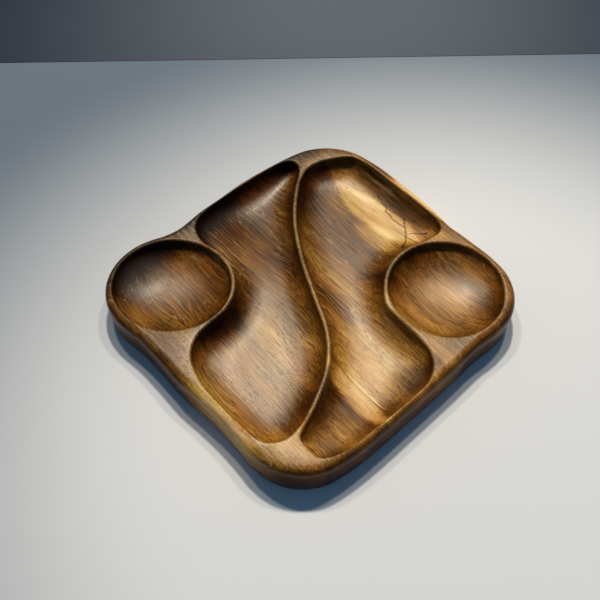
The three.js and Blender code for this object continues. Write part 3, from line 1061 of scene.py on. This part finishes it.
def relief(tree, fine, dashes, lines):
    """The surface's normal after its fine relief."""
    height = gather(tree, dashes, [fine, reckon(tree, "MULTIPLY", lines, line_relief)])
    bump = node(tree, "Bump", {"Height": height, "Distance": bump_height, "Strength": 1.0})
    return bump.outputs["Normal"]


print("roughness", sheen_roughness, "and up to", round(sheen_roughness + dull_roughness, 2))

# %% [markdown]
# Each stave gets its walnut from the same recipe. The staves differ in how dark they are, in their
# seeds, and in where the heart of the tree lay, so that neighbours meet at a sharp glue line, as offcuts
# from different logs do.

# %% The walnut of each stave
lip_lift = 0.09
stave_woods = {
    # tone, seed, y and z of the heart line, and ring spacing of each stave
    "stave_1_front_edge": (0.48, 1.3, (-60 * mm, -60 * mm), 4.5 * mm),
    "stave_2": (0.39, 2.7, (-190 * mm, -70 * mm), 4.5 * mm),
    "stave_3_middle": (0.40, 4.1, (-90 * mm, -60 * mm), 5.5 * mm),
    "stave_4": (0.39, 5.9, (180 * mm, -50 * mm), 4.5 * mm),
    "stave_5_back_edge": (0.43, 8.3, (60 * mm, -60 * mm), 4.5 * mm),
}


def walnut(name, low, high, tone, seed, heart, spacing):
    """The walnut of one stave."""
    wood = bpy.data.materials.new(name)
    wood.use_nodes = True
    tree = wood.node_tree
    plain, bent = grain_places(tree, seed)
    fine = fibres(tree, bent, seed)
    dashes = pores(tree, bent, seed)
    late, early = rings(tree, bent, heart, spacing)
    across, ends_and_shade = end_grain_and_shade(tree)
    lips, pale_lips = pale_lip_crests(tree, plain, seed)
    lines = reckon(tree, "MAXIMUM", pale_lines(tree, bent, seed), early)
    lines = reckon(tree, "MULTIPLY", lines, fade(tree, across, line_slope_span, 1.0, 0.0))
    lifted = reckon(tree, "MULTIPLY", lips, lip_lift)
    tone = broad_tone(tree, bent, seed, tone, low, high, [ends_and_shade, lifted])
    tone = reckon(tree, "ADD", fine_figure(tree, bent, seed, tone, across, [late, fine, dashes]), tone)
    if high.y > crack_start:
        tone = reckon(tree, "ADD", crack(tree, plain, seed), tone)
    bleach_and_sheen = beige_and_painted_sheen(tree, bent, lines, pale_lips, across)
    shader = tree.nodes["Principled BSDF"].inputs
    tree.links.new(walnut_colour(tree, tone, bleach_and_sheen, bent, seed), shader["Base Color"])
    tree.links.new(relief(tree, fine, dashes, lines), shader["Normal"])
    tree.links.new(sheen(tree, plain), shader["Roughness"])
    shader["Specular IOR Level"].default_value = varnish_specular
    return wood


for name, stave in pieces.items():
    wood = walnut(name + "_wood", *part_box(name), *stave_woods[name])
    stave.data.materials.append(wood)
    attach(stave, "root")
    print(wood.name, "has", len(wood.node_tree.nodes), "nodes")

# %% [markdown]
# The stage is a plain pale floor that dims away from the light, with a grey sheet lying on it far behind
# the dish. One colour for each sheet could do, but the real ones are brightest near the dish, so the
# distance from a bright place fades each from one colour to another.

# %% Floor and backdrop
floor_size = 6.0
backdrop_way = Vector((-0.772, 0.636, 0))
backdrop_turn = math.atan2(-backdrop_way.x, backdrop_way.y)
backdrop_distance = 382 * mm
backdrop_lift = 0.5 * mm
stage_roughness = 0.8
stage_specular = 0.2
floor_look = {
    "bright_place": (185 * mm, 0, 0), "span": (220 * mm, 610 * mm),
    "near_colour": (0.77, 0.79, 0.85, 1), "far_colour": (0.13, 0.17, 0.23, 1),
}
backdrop_look = {
    "bright_place": (-340 * mm, 355 * mm, 0), "span": (40 * mm, 520 * mm),
    "near_colour": (0.10, 0.12, 0.155, 1), "far_colour": (0.014, 0.025, 0.050, 1),
}


def stage_finish(name, bright_place, span, near_colour, far_colour):
    """A matt finish that dims away from the place where the light gathers."""
    finish = bpy.data.materials.new(name)
    finish.use_nodes = True
    tree = finish.node_tree
    shader = tree.nodes["Principled BSDF"].inputs
    place = node(tree, "TexCoord", {}).outputs["Object"]
    gap = reckon_reach(tree, "DISTANCE", place, bright_place)
    tree.links.new(mix(tree, fade(tree, gap, span), near_colour, far_colour), shader["Base Color"])
    shader["Roughness"].default_value = stage_roughness
    shader["Specular IOR Level"].default_value = stage_specular
    return finish


def sheet(name, shift, turn, finish):
    """A large flat sheet of the stage, shifted and then turned round the dish."""
    bm = bmesh.new()
    bmesh.ops.create_grid(bm, x_segments=1, y_segments=1, size=floor_size / 2)
    bmesh.ops.translate(bm, verts=bm.verts, vec=shift)
    bmesh.ops.rotate(bm, verts=bm.verts, matrix=Matrix.Rotation(turn, 3, "Z"))
    made = shape(name, bm)
    made.data.materials.append(finish)
    return made


floor = sheet("floor", (0, 0, 0), 0, stage_finish("pale_floor", **floor_look))
backdrop_shift = (0, floor_size / 2 + backdrop_distance, backdrop_lift)
backdrop = sheet("backdrop", backdrop_shift, backdrop_turn, stage_finish("grey_backdrop", **backdrop_look))
print("floor", floor_size, "m across, backdrop", round(backdrop_distance / mm), "mm away")

# %% [markdown]
# The key light stands behind and above the dish. It is a row of three small lamps, because the real
# shadow has a dark core between two fainter edges, which one wide lamp would smooth away. A weak cool
# fill comes from all round. Glossy wood mirrors it as a dim warm grey, since a blue sheen would make
# dark walnut look like slate, and the camera sees it as plain grey.

# %% Lamps and fill
key_way = Vector((-0.385, 0.345, 0.857))
side_way = Vector((0.652, 0.758, 0))
lamp_distance = 4.0
lamp_colour = (1.0, 0.90, 0.72)
lamp_size = 0.25
lamps = [
    # name, place along the row as a share of the distance, power in watts
    ("middle_lamp", 0, 100), ("right_lamp", 0.25, 34), ("left_lamp", -0.25, 34),
]
fill_colour = (0.28, 0.57, 0.88, 1)
mirrored_colour = (0.14, 0.11, 0.08, 1)
seen_colour = (0.50, 0.56, 0.62, 1)
fill_strength = 0.19

for name, aside, energy in lamps:
    way = (key_way + side_way * aside).normalized()
    lamp = bpy.data.objects.new(name, bpy.data.lights.new(name, "AREA"))
    lamp.data.energy = energy
    lamp.data.color = lamp_colour
    lamp.data.size = lamp_size
    lamp.location = way * lamp_distance
    lamp.rotation_euler = way.to_track_quat("Z", "Y").to_euler()
    scene.collection.objects.link(lamp)
    print(name, [round(part, 2) for part in way])

world = bpy.data.worlds.new("studio")
world.use_nodes = True
background = world.node_tree.nodes["Background"].inputs
rays = node(world.node_tree, "LightPath", {}).outputs
fill = mix(world.node_tree, rays["Is Glossy Ray"], fill_colour, mirrored_colour)
fill = mix(world.node_tree, rays["Is Camera Ray"], fill, seen_colour)
world.node_tree.links.new(fill, background["Color"])
background["Strength"].default_value = fill_strength
scene.world = world
scene.view_settings.view_transform = "Standard"
